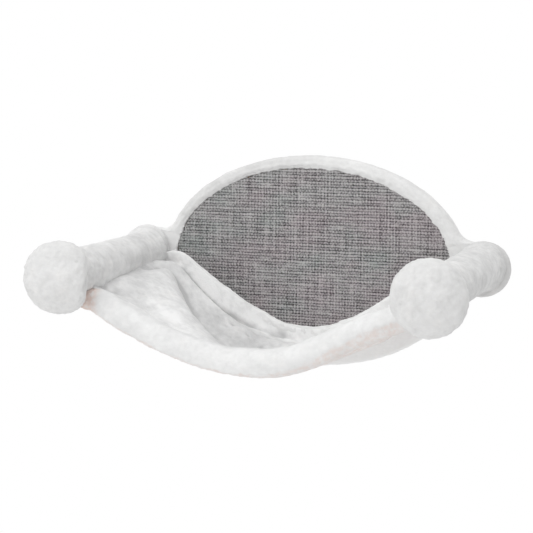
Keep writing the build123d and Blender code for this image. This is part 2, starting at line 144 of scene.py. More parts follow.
fibreboard, place = new_finish("fibreboard")
flecks = place.grain(900, 2)
cloud = place.grain(30, 4)
brown = cloud.between(0.3, 0.7).blend((0.30, 0.195, 0.11), (0.40, 0.27, 0.16))
brown = flecks.between(0.35, 0.75).blend(brown, (0.50, 0.37, 0.24))
close_finish(place, brown, 0.62 + 0.2 * flecks, flecks, 0.0002)
dress(nodes["backboard"], fibreboard)


# Staples, keyhole plates, bolts, washers, inserts and screws
# Zinc-plated steel. The staples hold the turned-in plush, the plates hang on two wall screws, and a bolt with a
# wide washer runs through the board into the insert of each pole.
steel, place = new_finish("zinc_plated_steel")
bloom = place.grain(140, 5, 0.6)
drawn = place.grain(700, 2, stretch=(6, 1, 1))
zinc = bloom.between(0.35, 0.65).blend((0.50, 0.51, 0.53), (0.66, 0.66, 0.67))
close_finish(place, zinc, 0.28 + 0.22 * bloom, drawn, 0.00004, {"Metallic": 1.0})
for name in ("edge_staples", "left_hanger_plate", "right_hanger_plate", "hanger_screws", "arm_bolts",
             "arm_washers", "pole_inserts", "end_disc_screws"):
    dress(nodes[name], steel)


# Poles and end discs
# Turned pale hardwood. The poles stand out from the board, and a disc is screwed to the end of each to stop the
# sleeve and to give the knob its round shape. All four lie under plush.
pale_wood, place = new_finish("pale_turned_wood")
year_rings = place.grain(260, 3, 0.6, (1, 0.06, 1))
pores = place.grain(1500, 1, stretch=(1, 0.02, 1))
tan = year_rings.between(0.35, 0.7).blend((0.62, 0.44, 0.26), (0.75, 0.58, 0.38))
tan = pores.between(0.6, 0.8).blend(tan, (0.45, 0.30, 0.17))
close_finish(place, tan, 0.5 + 0.2 * pores, pores, 0.0001)
for name in ("left_pole", "right_pole", "left_end_disc", "right_end_disc"):
    dress(nodes[name], pale_wood)


# Edge plush
# White plush with a short cut pile, cut as an oval with two ears. It is drawn over the rim of the board, glued
# round the mat on the front and stapled down in a rebate on the back. The arms pass through it.
oval = np.array((0.2035, 0.1375))  # half the oval's width and height, over the plush
mat_oval = np.array((0.1871, 0.1211))  # half the opening that is left for the mat
ear_radius = 0.035
neck_radius = 0.0255  # of the hollow curve between an ear and the oval
arm_x = 0.225
arm_z = 0.005
pole_radius = 0.022
pole_gap = 0.0004  # between a pole and the hole for it
board_front = 0.0152
plush_front = 0.0195
fold_width = 0.0205  # what is turned in at the back
fold_depth = 0.0021
fold_gap = 0.0002  # between the fold and the wall
back_round = 0.0033
rim_round = 0.0072
rim_crown = 0.0012  # how far the plush swells out between the rim and the mat
rim_wall = 0.0047  # plush beside the edge of the board
mat_round = 0.003  # rounding at the mat, across and in depth
mat_drop = 0.0035
fold_cover = 0.12  # share of the pile that stands on the turned-in part
rim_columns = 560


def ramp(values, start, end):
    """Nought before start, one past end, and even in between. It runs downwards where end is below start."""
    return np.clip((values - start) / (end - start), 0, 1)


def scatter(cells, seed):
    """A fixed random number from 0 to 1 for each cell of a grid in space."""
    mixed = cells @ np.array((73856093, 19349663, 83492791)) + seed * 2654435761
    mixed = ((mixed ^ (mixed >> 13)) * 1274126177) & 0xFFFFFFFF
    return ((mixed ^ (mixed >> 15)) & 0xFFFF) / 65535


def lumps(points, size, seed):
    """Smooth noise from -1 to 1 over points, with lumps of about this size."""
    cell = points / size
    low = np.floor(cell).astype(np.int64)
    part = cell - low
    part = part * part * (3 - 2 * part)
    total = np.zeros(len(points))
    for corner in np.ndindex(2, 2, 2):
        total += (2 * scatter(low + corner, seed) - 1) * np.prod(np.where(corner, part, 1 - part), axis=1)
    return total


def tufts(points, size, seed):
    """Distance to the nearest of scattered tuft centres, as a share of the size they stand apart."""
    cell = points / size
    low = np.floor(cell).astype(np.int64)
    nearest = np.full(len(points), 9.0)
    for step in np.ndindex(3, 3, 3):
        home = low + np.array(step) - 1
        away = np.zeros(len(points))
        for axis in range(3):
            away += (home[:, axis] + scatter(home, seed + 7 * axis) - cell[:, axis]) ** 2
        nearest = np.minimum(nearest, away)
    return np.sqrt(nearest)


def settle(name, mesh):
    """Puts a mesh in the scene with its ends closed, its faces turned outwards and smooth."""
    shape = bmesh.new()
    shape.from_mesh(mesh)
    bmesh.ops.holes_fill(shape, edges=[edge for edge in shape.edges if edge.is_boundary])
    bmesh.ops.recalc_face_normals(shape, faces=shape.faces)
    for face in shape.faces:
        face.smooth = True
    shape.to_mesh(mesh)
    shape.free()
    piece = bpy.data.objects.new(name, mesh)
    bpy.context.scene.collection.objects.link(piece)
    return piece


def sew(name, grid, round_rows=False, round_columns=False):
    """A mesh piece from a grid of points, joined up round its rows or columns where it is a tube."""
    rows, columns = grid.shape[:2]
    number = np.arange(rows * columns).reshape(rows, columns)
    if round_rows:
        number = np.vstack([number, number[:1]])
    if round_columns:
        number = np.hstack([number, number[:, :1]])
    faces = np.stack([number[:-1, :-1], number[1:, :-1], number[1:, 1:], number[:-1, 1:]], -1)
    mesh = bpy.data.meshes.new(name)
    mesh.from_pydata(grid.reshape(-1, 3).tolist(), [], faces.reshape(-1, 4).tolist())
    return settle(name, mesh)


def points_of(piece, kind="co"):
    """Places or normals of a piece's points as rows of an array."""
    values = np.empty(len(piece.data.vertices) * 3, np.float32)
    piece.data.vertices.foreach_get(kind, values)
    return values.reshape(-1, 3).astype(float)


def move_points(piece, places):
    """Puts each point of a piece at its row of places."""
    piece.data.vertices.foreach_set("co", places.astype(np.float32).ravel())
    piece.data.update()


def swell(piece, heights):
    """Moves each point of a piece out of its surface by its own height."""
    move_points(piece, points_of(piece) + points_of(piece, "normal") * heights[:, None])


def mark_points(piece, name, values):
    """Keeps one number on each point of a piece, for its finish to read."""
    marks = piece.data.attributes.new(name, "FLOAT", "POINT")
    marks.data.foreach_set("value", values.astype(np.float32))


def raise_pile(piece, height, clump, cover=1.0, seed=0):
    """Stands the pile of a plush piece up in soft tufts, and keeps how deep each point lies, for painted shade
    down between the tufts and painted light on their tops.
    """
    places = points_of(piece)
    rise = (0.6 * lumps(places, 2.8 * clump, seed + 1) + 0.5 * lumps(places, clump, seed + 2)
            + 0.35 * (0.55 - tufts(places, clump, seed + 3)) + 0.5 * lumps(places, 0.5 * clump, seed + 4))
    rise = rise * cover
    swell(piece, height * rise)
    mark_points(piece, "pile_painted_light_and_shade", 0.5 + 0.5 * rise)


def paint_light_and_shade(piece, light):
    """Paints light and shade onto the pile: a point gets painted light where its value is above nought, and
    painted shade where it is below.
    """
    marks = piece.data.attributes["pile_painted_light_and_shade"].data
    depths = np.empty(len(marks), np.float32)
    marks.foreach_get("value", depths)
    marks.foreach_set("value", (depths + light).astype(np.float32))


def plush_finish(name, low, high, back_and_shade_colour=None):
    """White cut pile with painted shade down between the tufts, the painted light and shade marked on its
    points, and fine fibres. The last colour is that of its woven back, laid on where the points are marked; on
    the front roll it stands in for shade.
    """
    material, place = new_finish(name)
    # the depth marked on each point carries painted shade between the tufts and the painted light and shade
    # laid on later
    depth = place.node("ShaderNodeAttribute", {"attribute_name": "pile_painted_light_and_shade"}, output="Fac")
    patches = place.grain(55)
    strands = place.grain(900, 3, 0.7)
    white = (depth * 0.6 + strands * 0.5 + patches * 0.25).between(0.10, 1.05).blend(low, high)
    warm = patches.between(0.55, 0.8) * 0.35
    colour = warm.blend(white, (high[0], high[1] * 0.975, high[2] * 0.955))
    if back_and_shade_colour:
        # the woven-back colour is laid on where the points are marked; on the front roll it is painted shade
        back_and_shade = place.node("ShaderNodeAttribute", {"attribute_name": "woven_back_and_painted_shade"}, output="Fac")
        blotches = place.grain(170, 2).between(0.38, 0.64)
        colour = (back_and_shade * (0.35 + 0.9 * blotches)).blend(colour, back_and_shade_colour)
    close_finish(place, colour, 0.92, strands * 0.7 + place.grain(330, 2) * 0.6, 0.0011,
                 {"Sheen Weight": 0.25, "Sheen Roughness": 0.6, "Specular IOR Level": 0.15})
    return material


def panel_outline(count):
    """Evenly spaced points round the oval with its two ears, and the way out from each."""
    low = 0.05
    high = 0.9
    for _ in range(50):  # where the hollow curve of the neck leaves the oval
        turn = (low + high) / 2
        on_oval = oval * (math.cos(turn), math.sin(turn))
        out = np.array((oval[1] * math.cos(turn), oval[0] * math.sin(turn)))
        out /= np.hypot(*out)
        middle = on_oval + neck_radius * out
        if np.hypot(*(middle - (arm_x, 0))) < ear_radius + neck_radius:
            low = turn
        else:
            high = turn
    lean = math.atan2(middle[1], middle[0] - arm_x)
    facing = math.atan2(out[1], out[0])
    ear = [(arm_x + ear_radius * math.cos(a), ear_radius * math.sin(a)) for a in np.linspace(0, lean, 60)]
    neck = [tuple(middle + neck_radius * np.array((math.cos(a), math.sin(a))))
            for a in np.linspace(lean + math.pi, facing + math.pi, 20)]
    rest = [tuple(oval * (math.cos(a), math.sin(a))) for a in np.linspace(turn, math.pi / 2, 200)]
    quarter = np.array(ear + neck[1:] + rest[1:])
    half = np.vstack([quarter, quarter[-2::-1] * (-1, 1)])
    loop = np.vstack([half, half[-2:0:-1] * (1, -1)])
    loop = np.vstack([loop, loop[:1]])
    along = np.concatenate([[0], np.cumsum(np.hypot(*np.diff(loop, axis=0).T))])
    wanted = np.linspace(0, along[-1], count, endpoint=False)
    points = np.stack([np.interp(wanted, along, loop[:, axis]) for axis in (0, 1)], 1)
    ahead = np.roll(points, -1, 0) - np.roll(points, 1, 0)
    out = np.stack([ahead[:, 1], -ahead[:, 0]], 1)
    return points, out / np.hypot(*out.T)[:, None]


rim, rim_out = panel_outline(rim_columns)
bearing = np.unwrap(np.arctan2(rim[:, 1], rim[:, 0]))
bearing = np.maximum.accumulate(bearing)
reach = mat_oval.prod() / np.hypot(mat_oval[1] * np.cos(bearing), mat_oval[0] * np.sin(bearing))
# the pile leans in over the mat at the lower right, at the right and at the upper right, and its edge is ragged
for share, towards, power in ((0.040, -1.1, 6), (0.035, -0.45, 24), (0.020, 0.5, 3)):
    reach *= 1 - share * np.maximum(0, np.cos(bearing - towards)) ** power
rim_points = np.column_stack([rim, np.zeros(len(rim))])
reach += 0.0009 * lumps(rim_points, 0.007, 10) + 0.0011 * lumps(rim_points, 0.003, 12)
mat_edge = np.stack([reach * np.cos(bearing), reach * np.sin(bearing)], 1)
inward = mat_edge - rim
width = np.hypot(*inward.T)
inward /= width[:, None]
quarter_turn = np.linspace(0, math.pi / 2, 7)[1:]
# rows of points round the plush, from the fold on the back over the rim to the mat and back inside
section = []
cover = []  # share of the pile that stands on each row


def add_row(flat, depth, pile):
    """Adds a row of points to the section: flat on the wall plane, depth out from it, pile its cover."""
    section.append(np.column_stack([flat[:, 0], np.full(len(flat), -depth), flat[:, 1]]))
    cover.append(pile)


for share in np.linspace(1, 0.16, 9):
    add_row(rim - rim_out * fold_width * share, fold_gap, fold_cover)
for a in quarter_turn:
    add_row(rim - rim_out * back_round * (1 - math.sin(a)), back_round * (1 - math.cos(a)),
            fold_cover + 0.6 * math.sin(a))
for depth in np.linspace(back_round, plush_front - rim_round, 6)[1:]:
    add_row(rim, depth, 0.85)
for a in quarter_turn:
    add_row(rim + inward * rim_round * (1 - math.cos(a)), plush_front - rim_round * (1 - math.sin(a)), 1.0)
for share in np.linspace(0, 1, 24)[1:]:
    flat = rim_round + (width - rim_round - mat_round) * share
    lift = rim_crown * np.sin(math.pi * share) * np.minimum(1, 0.016 / width)
    add_row(rim + inward * flat[:, None], plush_front + lift, 1.0)
for a in quarter_turn:
    add_row(rim + inward * (width - mat_round * (1 - math.sin(a)))[:, None],
            plush_front - mat_drop * (1 - math.cos(a)), 0.8)
add_row(mat_edge, board_front, 0.0)
add_row(rim + inward * rim_wall, board_front, 0.0)
add_row(rim + inward * rim_wall, fold_depth, 0.0)
add_row(rim - rim_out * fold_width, fold_depth, 0.0)
edge_plush = sew("edge_plush_cover", np.array(section), round_rows=True, round_columns=True)
raise_pile(edge_plush, 0.0008, 0.006, np.repeat(cover, len(rim)), 11)
across, _, up = points_of(edge_plush).T
# painted light at the left neck and along the bottom, where they lie in shade, and painted shade round the
# right ear; the upper left is also made darker
light = 0.9 * ramp(across, -0.175, -0.195) * ramp(up, 0.06, 0.03)
light += 0.9 * ramp(up, -0.05, -0.08)
light -= 0.9 * ramp(across, 0.215, 0.235)
light -= 0.6 * ramp(across, 0.02, -0.04) * ramp(up, 0.03, 0.06)
paint_light_and_shade(edge_plush, light)


def cut_out(piece, cutter):
    """Takes a cutter's shape away from a piece."""
    change = piece.modifiers.new("cut", "BOOLEAN")
    change.object = cutter
    change.operation = "DIFFERENCE"
    change.solver = "EXACT"
    shape = bmesh.new()
    shape.from_object(piece, bpy.context.evaluated_depsgraph_get())
    piece.modifiers.clear()
    shape.to_mesh(piece.data)
    shape.free()
    bpy.data.objects.remove(cutter)


def round_ring(count):
    """Points of a ring of radius 1 round the Y axis."""
    turn = np.linspace(0, 2 * math.pi, count, endpoint=False)
    return np.column_stack([np.cos(turn), np.zeros(count), np.sin(turn)])


for x in (-arm_x, arm_x):
    ring = round_ring(64) * (pole_radius + pole_gap) + (x, 0, arm_z)
    plug = sew("plug", np.array([ring - (0, 0.030, 0), ring - (0, 0.008, 0)]), round_columns=True)
    cut_out(edge_plush, plug)
dress(edge_plush, plush_finish("white_plush", (0.62, 0.618, 0.614), (0.83, 0.829, 0.825)))
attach(edge_plush, "root")
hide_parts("edge_plush")


# Sisal mat
# A coarse mat of grey sisal, cut to an oval and glued to the board inside the plush rim. Thick weft threads lie
# level, thin warp threads run up between them, and the cut edge is a little ragged.
mat_half = np.array((0.1880, 0.1220))
mat_front = 0.0190
weft_pitch = 0.00372
warp_pitch = 0.00208
thread_relief = 0.0008
columns = np.arange(-90.5, 91) * warp_pitch
rows = np.arange(-131.5, 132) * weft_pitch / 4  # four rows of points to a thread
across, up = np.meshgrid(columns, rows)
flat_points = np.column_stack([across.ravel(), np.zeros(across.size), up.ravel()])
bow = 0.5 + 0.5 * np.cos(2 * math.pi * up / weft_pitch)
depth = mat_front - thread_relief * (1 - bow) + 0.0002 * lumps(flat_points, 0.005, 24).reshape(up.shape)
ragged = 1 + 0.004 * lumps(flat_points, 0.004, 25)
inside = np.hypot(flat_points[:, 0] / mat_half[0], flat_points[:, 2] / mat_half[1]) < ragged
inside = inside.reshape(up.shape)
whole = inside[:-1, :-1] & inside[1:, :-1] & inside[1:, 1:] & inside[:-1, 1:]
number = np.arange(up.size).reshape(up.shape)
quads = np.stack([number[:-1, :-1], number[:-1, 1:], number[1:, 1:], number[1:, :-1]], -1)[whole]
used, quads = np.unique(quads, return_inverse=True)
mesh = bpy.data.meshes.new("sisal_mat_weave")
mesh.from_pydata(np.column_stack([across.ravel(), -depth.ravel(), up.ravel()])[used].tolist(), [],
                 quads.reshape(-1, 4).tolist())
shape = bmesh.new()
shape.from_mesh(mesh)
skirt = bmesh.ops.extrude_edge_only(shape, edges=[edge for edge in shape.edges if edge.is_boundary])
for point in (item for item in skirt["geom"] if isinstance(item, bmesh.types.BMVert)):
    point.co.y = -board_front
shape.to_mesh(mesh)
shape.free()
sisal_mat = settle("sisal_mat_weave", mesh)

sisal, place = new_finish("grey_sisal")
across = place.node("ShaderNodeSeparateXYZ", {}, {"Vector": place}, "X")
up = place.node("ShaderNodeSeparateXYZ", {}, {"Vector": place}, "Z")
wobble = place.grain(230, 1) * 0.0011
warp_turn = (across + 0.0012 * place.grain(45, 1) + wobble) * (math.pi / warp_pitch)
weft_turn = (up + 0.0010 * place.grain(30, 1) + wobble) * (math.pi / weft_pitch)
warp_wave = place.reckon("COSINE", warp_turn)
weft_wave = place.reckon("COSINE", weft_turn)
crossing = warp_wave * weft_wave
weft_over = place.reckon("MAXIMUM", crossing)
warp_over = place.reckon("MAXIMUM", crossing * -1)
weft_body = place.reckon("ABSOLUTE", weft_wave)
pairs = weft_wave * 0.10 + warp_wave * 0.09  # every other thread is a little lighter
thread_rows = place.grain(1, 1, stretch=(22, 1, 268))
thread_columns = place.grain(1, 1, stretch=(440, 1, 14))
slubs = place.grain(1, 0, stretch=(40, 1, 268)).between(0.64, 0.8)
fibre = place.grain(520, 3, 0.9)
# the threads get painted light where they lie over and painted shade down their sides and in the gaps between
# them
light = (weft_over * 0.55 + warp_over * 0.25 + weft_body * 0.3 + thread_rows * 0.5 + thread_columns * 0.65
         + slubs * 0.25 + fibre * 2.0 + pairs).between(1.48, 2.24)
grey = light.blend((0.03, 0.029, 0.03), (0.52, 0.508, 0.508))
# broad patches of the yarn are mauve, others greenish, and the left is greener than the right
patch = 1 - place.grain(16, stretch=(1, 1, 1.6)) + across * 0.3
mauve = patch.between(0.45, 0.62) * 0.7
tinted = mauve.blend(grey, light.blend((0.045, 0.032, 0.038), (0.52, 0.47, 0.483)))
green = (1 - patch).between(0.58, 0.7) * 0.6
tinted = green.blend(tinted, light.blend((0.030, 0.040, 0.038), (0.455, 0.49, 0.475)))
close_finish(place, tinted, 0.85, crossing * crossing + fibre, 0.0006, {"Specular IOR Level": 0.2})
dress(sisal_mat, sisal)
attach(sisal_mat, "root")
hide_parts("sisal_mat")


# Knob padding and knob covers
# Each arm ends in a flattened ball. White wadding is packed round the wooden disc, and a plush cover is drawn
# over it and gathered tight round the pole behind the disc. The left ball is pressed flat towards the bed.
knob_y = -0.303
knob_radius = 0.045
knob_half = 0.027
left_share = 0.975  # the left ball is a little smaller
knob_cloth = 0.0028
gather_count = 15
gather_depth = 0.0016
wadding_voxel = 0.003
ball_voxel = 0.004
ball_sides = 72

wadding, place = new_finish("white_wadding")
clots = place.grain(160, 5, 0.7)
curls = place.grain(900, 3, 0.7, (1, 1, 0.3))
soft_white = clots.between(0.3, 0.7).blend((0.74, 0.74, 0.72), (0.90, 0.90, 0.88))
close_finish(place, soft_white, 0.95, curls + clots, 0.0012, {"Sheen Weight": 0.2})


def apply_all(piece):
    """Replaces a piece's mesh by what its modifiers make of it."""
    made = bpy.data.meshes.new_from_object(piece.evaluated_get(bpy.context.evaluated_depsgraph_get()))
    piece.modifiers.clear()
    old = piece.data
    piece.data = made
    bpy.data.meshes.remove(old)
    for face in made.polygons:
        face.use_smooth = True


def remesh(piece, voxel):
    """Gives a closed piece an even mesh with cells of this size."""
    change = piece.modifiers.new("remesh", "REMESH")
    change.mode = "VOXEL"
    change.voxel_size = voxel
    apply_all(piece)


def plump(piece, pressure, cap):
    """Blows a closed piece up as cloth under pressure, with no point moved by more than the cap."""
    steps = 20
    before = points_of(piece)
    change = piece.modifiers.new("cloth", "CLOTH")
    change.settings.use_pressure = True
    change.settings.uniform_pressure_force = pressure
    change.settings.effector_weights.gravity = 0
    change.settings.quality = 6
    change.point_cache.frame_end = steps
    for number in range(1, steps + 1):
        bpy.context.scene.frame_set(number)
    blown = bpy.data.meshes.new_from_object(piece.evaluated_get(bpy.context.evaluated_depsgraph_get()))
    after = np.empty(len(blown.vertices) * 3, np.float32)
    blown.vertices.foreach_get("co", after)
    moved = after.reshape(-1, 3) - before
    length = np.linalg.norm(moved, axis=1)
    moved *= np.minimum(1, cap / np.maximum(length, 1e-9))[:, None]
    piece.modifiers.clear()
    bpy.data.meshes.remove(blown)
    bpy.context.scene.frame_set(1)
    move_points(piece, before + moved)


def subdivide(piece):
    """Divides each face of a piece in four and smooths the whole."""
    change = piece.modifiers.new("finer", "SUBSURF")
    change.levels = 1
    change.render_levels = 1
    apply_all(piece)


def press_flat(points, start, give):
    """Presses points flat on the side towards the bed, and says how far that way each one lay before."""
    towards = np.array((0.899, 0.438, 0))
    reach_in = points @ towards
    held = np.where(reach_in > start, start + give * np.tanh((reach_in - start) / give), reach_in)
    return points + (held - reach_in)[:, None] * towards, reach_in


knob_plush = plush_finish("white_plush_stretched", (0.57, 0.569, 0.566), (0.78, 0.779, 0.776))
for side, x in (("left", -arm_x), ("right", arm_x)):
    middle = np.array((x, knob_y, arm_z))

    # padding, from its own solid
    padding = nodes[side + "_knob_padding"].copy()
    padding.data = padding.data.copy()
    padding.name = side + "_knob_wadding"
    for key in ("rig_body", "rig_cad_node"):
        del padding[key]
    padding.parent = None
    bpy.context.scene.collection.objects.link(padding)
    remesh(padding, wadding_voxel)
    places = points_of(padding)
    swell(padding, 0.0009 * (lumps(places, 0.011, 31) * 0.5 + lumps(places, 0.005, 32) * 0.4 - 0.5))
    if side == "left":
        move_points(padding, press_flat(points_of(padding) - middle, 0.019, 0.0145)[0] + middle)
    dress(padding, wadding)
    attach(padding, "root")
    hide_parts(side + "_knob_padding")

    # cover: a ball sewn a little small, stuffed tight
    rings = []
    for a in np.linspace(-math.pi / 2, math.pi / 2, 40)[1:-1]:
        wide = (left_share if side == "left" else 1.0) * knob_radius * math.cos(a) ** 0.9
        deep = 0.97 * knob_half * math.copysign(abs(math.sin(a)) ** 0.96, math.sin(a))
        ring = round_ring(ball_sides) * wide - (0, deep, 0)
        if side == "left":
            ring, reach_in = press_flat(ring, 0.020, 0.016)
            ring[:, 2] *= 1 + 0.08 * ramp(reach_in, 0, 0.03) ** 2
        rings.append(ring)
    ball = sew(side + "_knob", np.array(rings) + middle, round_columns=True)
    remesh(ball, ball_voxel)
    plump(ball, 4.0, 0.0015)
    subdivide(ball)
    places = points_of(ball) - middle
    turned = np.arctan2(places[:, 2], places[:, 0])
    away = np.hypot(places[:, 0], places[:, 2])
    behind = ramp(places[:, 1], 0, knob_half) * ramp(away, 0.046, 0.030)
    swell(ball, np.cos(gather_count * turned + 1.5 * np.sin(2 * turned)) * behind * gather_depth)
    raise_pile(ball, 0.0014, 0.0055, 1.0, 40 if side == "left" else 60)

    # the cover is open where the pole goes in, and its neck lies against the pole
    shape = bmesh.new()
    shape.from_mesh(ball.data)
    gone = [face for face in shape.faces if face.calc_center_median().y > knob_y
            and math.hypot(face.calc_center_median().x - x, face.calc_center_median().z - arm_z) < pole_radius]
    bmesh.ops.delete(shape, geom=gone, context="FACES")
    shape.to_mesh(ball.data)
    shape.free()
    change = ball.modifiers.new("cloth", "SOLIDIFY")
    change.thickness = knob_cloth
    change.offset = -1
    apply_all(ball)
    places = points_of(ball) - middle
    away = np.maximum(np.hypot(places[:, 0], places[:, 2]), 1e-6)
    push = np.where(places[:, 1] > 0, np.maximum((pole_radius + 0.0003) / away, 1), 1)
    move_points(ball, places * np.column_stack([push, np.ones(len(push)), push]) + middle)
    dress(ball, knob_plush)
    ball.name = side + "_knob_plush"
    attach(ball, "root")
    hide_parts(side + "_knob_cover")


# Sleeves
# Plush tunnels sewn along the sides of the sling and pushed over the poles. They bunch up against the panel,
# are gathered in short folds behind the knobs, and lie a little loose in between.
sleeve_radius = 0.0275
sleeve_start = -0.0198
sleeve_end = -0.2795
sleeve_bore = 0.0224
sleeve_round = 0.0022
sleeve_columns = 100
out = round_ring(sleeve_columns)
below = np.maximum(0, -out[:, 2])
# the sleeves have a plush finish of their own, with a darker low end as painted shade
sleeve_plush = plush_finish("white_plush_sleeve_shaded", (0.53, 0.529, 0.527), (0.86, 0.859, 0.856))
for side, x, shoulder in (("left", -arm_x, 0.0065), ("right", arm_x, 0.0040)):
    inner = np.maximum(0, -math.copysign(1, x) * out[:, 0])
    rings = []
    cover = []
    for y in np.linspace(sleeve_start, sleeve_end, 140):
        near = out * 0.03 + (x, y, arm_z)
        from_wall = sleeve_start - y
        from_knob = y - sleeve_end
        bunch = shoulder * math.exp(-(from_wall / 0.027) ** 4) * (1 - 0.95 * inner ** 2)
        if side == "left":  # the sling pulls the bunched cloth flat below
            bunch = bunch * (1 - 0.95 * np.minimum(1, 1.4 * below))
        # on the side of the bed the cloth bulges where the sling's corner is sewn to it
        bulge = math.tanh((from_wall - 0.013) / 0.0022) - math.tanh((from_wall - 0.055) / 0.02)
        bulge = 0.0020 * bulge * inner ** 4
        droop = shoulder * math.exp(-(from_wall / 0.085) ** 2) * below ** 2 * (0.1 + 0.7 * inner)
        phase = 2.2 * lumps(near * (1, 0, 1), 0.03, 71 if side == "left" else 72)
        wall_folds = 0.0012 * math.exp(-from_wall / 0.022) * np.cos(2 * math.pi * from_wall / 0.011 + phase)
        knob_folds = 0.0025 * math.exp(-from_knob / 0.06) * np.cos(2 * math.pi * from_knob / 0.0185 + phase)
        slack = 0.0012 * lumps(near * (1, 0.45, 1), 0.022, 73 if side == "left" else 74)
        edge = min(from_wall, from_knob)
        short = 1 - min(edge / sleeve_round, 1)
        rounding = sleeve_round * (1 - math.sqrt(1 - short ** 2))
        radius = sleeve_radius + bunch + bulge + droop + wall_folds + knob_folds + slack - rounding
        rings.append(out * radius[:, None] + (x, y, arm_z))
        cover.append(min(1, edge / 0.004))
    for y in np.linspace(sleeve_end, sleeve_start, 24):
        rings.append(out * sleeve_bore + (x, y, arm_z))
        cover.append(0)
    sleeve = sew(side + "_sleeve_plush", np.array(rings), round_rows=True, round_columns=True)
    raise_pile(sleeve, 0.0007, 0.0065, np.repeat(cover, sleeve_columns), 80 if side == "left" else 90)
    # painted light on the underside of the left sleeve, which lies in shade, and painted shade in the gathers
    # of the left one by the knob and all over the right one, most on its lower side
    _, along, up = points_of(sleeve).T
    if side == "left":
        light = 1.2 * ramp(up, arm_z, arm_z - sleeve_radius)
        light -= 0.45 * np.exp(-((along - sleeve_end) / 0.045) ** 2)
    else:
        light = -0.2 - 0.35 * ramp(up, arm_z + 0.010, arm_z - 0.020)
    paint_light_and_shade(sleeve, light)
    dress(sleeve, sleeve_plush)
    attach(sleeve, "root")
    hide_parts(side + "_sleeve")


# Sling cloth
# One piece of plush hung from arm to arm. The bed sags between a flat rear hem and a thick roll in front.
# On the left a long ridge runs forward from the arm, with a trough behind it and a smooth wall before it.
seam_x = 0.1995
rear_sag = 0.085
roll_sag = 0.0955
roll_radius = 0.017
roll_y = -0.258
rear_y = -0.049
hem_height = 0.0175
cloth_thickness = 0.003
sewn_room = 0.0245  # from a pole's middle to the ends of what is sewn into its sleeve
bed_columns = 230
bed_rows = 136
# colour of the cloth's woven back, also used as painted shade on the front roll
woven_back_and_shade_colour = (0.70, 0.575, 0.525)
stations = seam_x * np.array((-1.0, -0.87, -0.73, -0.59, -0.45, -0.31, -0.15, 0.0, 0.15, 0.31, 0.45, 0.59, 0.73,
                              0.87, 1.05))
rear_edge = arm_z - rear_sag * np.array((-0.01, -0.05, 0.15, 0.38, 0.59, 0.77, 0.94, 1.0, 0.98, 0.84, 0.65,
                                         0.42, 0.18, -0.04, -0.13))
roll_line = arm_z - roll_sag * np.array((0.34, 0.46, 0.60, 0.735, 0.845, 0.93, 0.99, 1.0, 0.985, 0.905, 0.765,
                                         0.615, 0.485, 0.365, 0.31))
roll_girth = roll_radius * np.array((0.84, 0.97, 1.0, 1.0, 1.0, 1.0, 1.0, 1.0, 1.0, 1.0, 1.0, 1.0, 1.0, 0.97,
                                     0.76))
# points of the bed at each station: millimetres in front of the hem, and millimetres below its lower edge
folds = 0.001 * np.array((
    ((6, -6), (16, -10), (28, -11), (44, -9), (100, -4), (160, 1), (184, 9)),
    ((6, 2), (10, -3), (18, 0), (28, 11), (42, 3), (120, 6), (184, 19)),
    ((7, 9.5), (11.5, 3.5), (26, 9), (48, 23), (70, 2), (130, 0), (186, 11.5)),
    ((8, 15), (13, 8.5), (34, 13), (77, 28), (110, -2), (152, -6), (187, 2)),
    ((8, 13), (14, 9.5), (40, 13.5), (91, 28), (139, -5.5), (172, -9), (190, -6.5)),
    ((8, 7), (15, 5.5), (40, 10.5), (100, 24.5), (166, -7), (186, -10.5), (194, -11.5)),
    ((10, 3.5), (17, 3), (45, 8.5), (104, 19), (168, 1.5), (187, -10), (194, -15)),
    ((12, 3), (20, 3.5), (45, 8), (100, 15.5), (162, 5.5), (185, -7.5), (194, -16.5)),
    ((12, 5), (20, 5), (45, 7.5), (107, 15.5), (163, 5), (185, -7.5), (194, -16.5)),
    ((10, 3), (20, 6.5), (56, 12.5), (112, 18), (163, 8), (185, -6), (194, -14)),
    ((10, 3), (30, 9), (66, 17.5), (112, 21), (163, 9), (185, -6.5), (194, -14)),
    ((10, 3.5), (28, 10), (64, 22), (110, 27), (158, 14), (185, -3), (194, -9.5)),
    ((10, 4), (26, 11.5), (60, 26), (106, 33), (155, 23), (185, 4), (194, -3)),
    ((8, 3), (20, 9), (54, 22), (100, 29), (152, 26), (185, 11.5), (194, 7)),
    ((8, 1.5), (20, 4), (44, 9), (90, 17), (144, 18), (179, 14), (192, 12)),
))


def flow(wanted, places, values):
    """Values on a smooth line through those given at the places."""
    values = np.asarray(values, float)
    slope = np.gradient(values, places, axis=0)
    first = np.clip(np.searchsorted(places, wanted) - 1, 0, len(places) - 2)
    gap = places[first + 1] - places[first]
    part = (wanted - places[first]) / gap
    more = (slice(None),) + (None,) * (values.ndim - 1)
    part = part[more]
    gap = gap[more]
    return ((1 + 2 * part) * (1 - part) ** 2 * values[first] + part * (1 - part) ** 2 * gap * slope[first]
            + part ** 2 * (3 - 2 * part) * values[first + 1] + part ** 2 * (part - 1) * gap * slope[first + 1])


def clear_of_poles(points, room):
    """Pushes points out of the poles, so that what is sewn on ends inside the sleeves."""
    points = points.copy()
    for x in (-arm_x, arm_x):
        across = points[..., 0] - x
        up = points[..., 2] - arm_z
        away = np.maximum(np.hypot(across, up), 1e-6)
        push = np.maximum(room / away, 1)
        points[..., 0] = x + across * push
        points[..., 2] = arm_z + up * push
    return points


